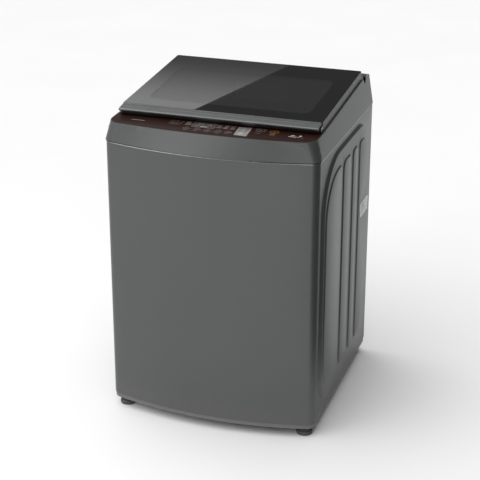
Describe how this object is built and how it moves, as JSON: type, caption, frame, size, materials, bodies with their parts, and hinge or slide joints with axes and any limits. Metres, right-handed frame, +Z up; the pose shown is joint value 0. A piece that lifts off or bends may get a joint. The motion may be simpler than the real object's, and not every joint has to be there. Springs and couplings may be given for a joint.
{
  "type": "top load washing machine",
  "caption": "Top load washing machine with a bowed dark grey cabinet, hinged tinted glass lid, sloped control panel, hung tub, basket and pulsator, on levelling feet.",
  "frame": {"origin": "on the floor under the middle of the machine's bounding box", "axes": "+Z up, +X to the user's right, -Y towards the user, who faces the control panel"},
  "size_m": [0.625, 0.6199, 0.917],
  "materials": {
    "painted_steel": "satin dark grey enamel",
    "cover_plastic": "fine-grained dark grey moulding",
    "control_gloss": "high gloss dark maroon",
    "display": "grey liquid crystal window",
    "key_gloss": "gloss key flush with the panel",
    "tinted_glass": "dark tinted tempered glass with a printed border",
    "brushed_trim": "brushed satin strip",
    "black_plastic": "black moulding",
    "white_plastic": "off-white polypropylene",
    "stainless": "stainless basket sheet",
    "zinc_steel": "zinc-plated steel",
    "cast_housing": "die-cast housing",
    "rubber": "black rubber",
    "foot_plastic": "dark grey foot",
    "board_green": "circuit board",
    "spring_steel": "spring wire"
  },
  "bodies": {
    "cabinet": {"front_panel": "painted_steel", "right_side_panel": "painted_steel", "left_side_panel": "painted_steel", "handle_cup_right": "cover_plastic", "handle_cup_left": "cover_plastic", "rear_panel": "painted_steel", "rear_service_cover": "painted_steel", "drain_outlet": "black_plastic", "power_cord_gland": "black_plastic", "base_frame": "cover_plastic", "kick_plate": "black_plastic", "foot_lock_nuts": "zinc_steel", "top_cover": "cover_plastic", "control_panel": "control_gloss", "display_window": "display", "control_board": "board_green", "hinge_pins": "stainless", "lid_lock": "white_plastic", "detergent_housing": "white_plastic", "water_inlet_valve": "white_plastic", "suspension_brackets": "zinc_steel", "suspension_rods": "zinc_steel", "suspension_springs": "spring_steel", "body_screws": "zinc_steel"},
    "lid": {"lid_frame": "cover_plastic", "lid_liner": "white_plastic", "lid_glass": "tinted_glass", "lid_grip": "brushed_trim", "lid_front_bar": "black_plastic"},
    "function_key_1": {"function_key_1": "key_gloss"},
    "function_key_2": {"function_key_2": "key_gloss"},
    "function_key_3": {"function_key_3": "key_gloss"},
    "function_key_4": {"function_key_4": "key_gloss"},
    "function_key_5": {"function_key_5": "key_gloss"},
    "program_key": {"program_key": "key_gloss"},
    "start_key": {"start_key": "key_gloss"},
    "power_key": {"power_key": "key_gloss"},
    "lock_bolt": {"lid_lock_bolt": "zinc_steel"},
    "drawer": {"dispenser_drawer": "white_plastic"},
    "tub": {"outer_tub": "white_plastic", "tub_ring": "white_plastic", "support_plate": "zinc_steel", "gearcase": "cast_housing", "drive_motor": "zinc_steel", "drain_valve": "black_plastic", "drain_hose": "rubber", "drive_belt": "rubber"},
    "basket": {"wash_basket": "stainless", "balance_ring": "white_plastic", "basket_hub": "cast_housing"},
    "filter": {"lint_filter": "white_plastic"},
    "pulsator": {"pulsator": "white_plastic", "pulsator_cap": "brushed_trim", "drive_shaft": "stainless"},
    "drive_pulley": {"drive_pulley": "cast_housing"},
    "motor_pulley": {"motor_pulley": "cast_housing"},
    "foot_front_left": {"levelling_foot_front_left": "foot_plastic"},
    "foot_front_right": {"levelling_foot_front_right": "foot_plastic"},
    "foot_rear_left": {"levelling_foot_rear_left": "foot_plastic"},
    "foot_rear_right": {"levelling_foot_rear_right": "foot_plastic"}
  },
  "joints": [
    {"name": "lid_hinge", "type": "hinge", "parent": "cabinet", "child": "lid", "pos_m": [0, 0.248, 0.8915], "axis": [-1, 0, 0], "range_deg": [0, 80]},
    {"name": "function_key_1_press", "type": "slide", "parent": "cabinet", "child": "function_key_1", "axis": [0, 0.0349, -0.9994], "range_m": [0, 0.0006], "stiffness_N_per_m": 600, "springref_m": -0.0002},
    {"name": "function_key_2_press", "type": "slide", "parent": "cabinet", "child": "function_key_2", "axis": [0, 0.0349, -0.9994], "range_m": [0, 0.0006], "stiffness_N_per_m": 600, "springref_m": -0.0002},
    {"name": "function_key_3_press", "type": "slide", "parent": "cabinet", "child": "function_key_3", "axis": [0, 0.0349, -0.9994], "range_m": [0, 0.0006], "stiffness_N_per_m": 600, "springref_m": -0.0002},
    {"name": "function_key_4_press", "type": "slide", "parent": "cabinet", "child": "function_key_4", "axis": [0, 0.0349, -0.9994], "range_m": [0, 0.0006], "stiffness_N_per_m": 600, "springref_m": -0.0002},
    {"name": "function_key_5_press", "type": "slide", "parent": "cabinet", "child": "function_key_5", "axis": [0, 0.0349, -0.9994], "range_m": [0, 0.0006], "stiffness_N_per_m": 600, "springref_m": -0.0002},
    {"name": "program_key_press", "type": "slide", "parent": "cabinet", "child": "program_key", "axis": [0, 0.0349, -0.9994], "range_m": [0, 0.0006], "stiffness_N_per_m": 600, "springref_m": -0.0002},
    {"name": "start_key_press", "type": "slide", "parent": "cabinet", "child": "start_key", "axis": [0, 0.0349, -0.9994], "range_m": [0, 0.0006], "stiffness_N_per_m": 600, "springref_m": -0.0002},
    {"name": "power_key_press", "type": "slide", "parent": "cabinet", "child": "power_key", "axis": [0, 0.0349, -0.9994], "range_m": [0, 0.0006], "stiffness_N_per_m": 600, "springref_m": -0.0002},
    {"name": "lock_bolt_slide", "type": "slide", "parent": "cabinet", "child": "lock_bolt", "axis": [-1, 0, 0], "range_m": [0, 0.01], "stiffness_N_per_m": 150, "springref_m": -0.001},
    {"name": "drawer_slide", "type": "slide", "parent": "cabinet", "child": "drawer", "axis": [0, -1, 0], "range_m": [0, 0.055]},
    {"name": "tub_bounce", "type": "slide", "parent": "cabinet", "child": "tub", "axis": [0, 0, 1], "range_m": [-0.02, 0.008], "stiffness_N_per_m": 16000, "springref_m": 0.0206, "deforming": ["suspension_springs", "drain_hose"]},
    {"name": "basket_spin", "type": "hinge", "parent": "tub", "child": "basket", "pos_m": [0, 0, 0.2], "axis": [0, 0, 1], "continuous": true},
    {"name": "filter_release", "type": "slide", "parent": "basket", "child": "filter", "axis": [0, -1, 0], "range_m": [0, 0.028]},
    {"name": "pulsator_spin", "type": "hinge", "parent": "tub", "child": "pulsator", "pos_m": [0, 0, 0.2], "axis": [0, 0, 1], "continuous": true},
    {"name": "drive_pulley_spin", "type": "hinge", "parent": "tub", "child": "drive_pulley", "pos_m": [0, 0, 0.075], "axis": [0, 0, 1], "continuous": true},
    {"name": "motor_pulley_spin", "type": "hinge", "parent": "tub", "child": "motor_pulley", "pos_m": [0.165, 0, 0.075], "axis": [0, 0, 1], "continuous": true},
    {"name": "foot_front_left_turn", "type": "hinge", "parent": "cabinet", "child": "foot_front_left", "pos_m": [-0.266, -0.238, 0.01], "axis": [0, 0, 1], "continuous": true},
    {"name": "foot_front_right_turn", "type": "hinge", "parent": "cabinet", "child": "foot_front_right", "pos_m": [0.266, -0.238, 0.01], "axis": [0, 0, 1], "continuous": true},
    {"name": "foot_rear_left_turn", "type": "hinge", "parent": "cabinet", "child": "foot_rear_left", "pos_m": [-0.266, 0.272, 0.01], "axis": [0, 0, 1], "continuous": true},
    {"name": "foot_rear_right_turn", "type": "hinge", "parent": "cabinet", "child": "foot_rear_right", "pos_m": [0.266, 0.272, 0.01], "axis": [0, 0, 1], "continuous": true}
  ],
  "couplings": [
    {"joint": "drive_pulley_spin", "follows": "pulsator_spin", "ratio": 5.2},
    {"joint": "motor_pulley_spin", "follows": "pulsator_spin", "ratio": 17.475}
  ]
}
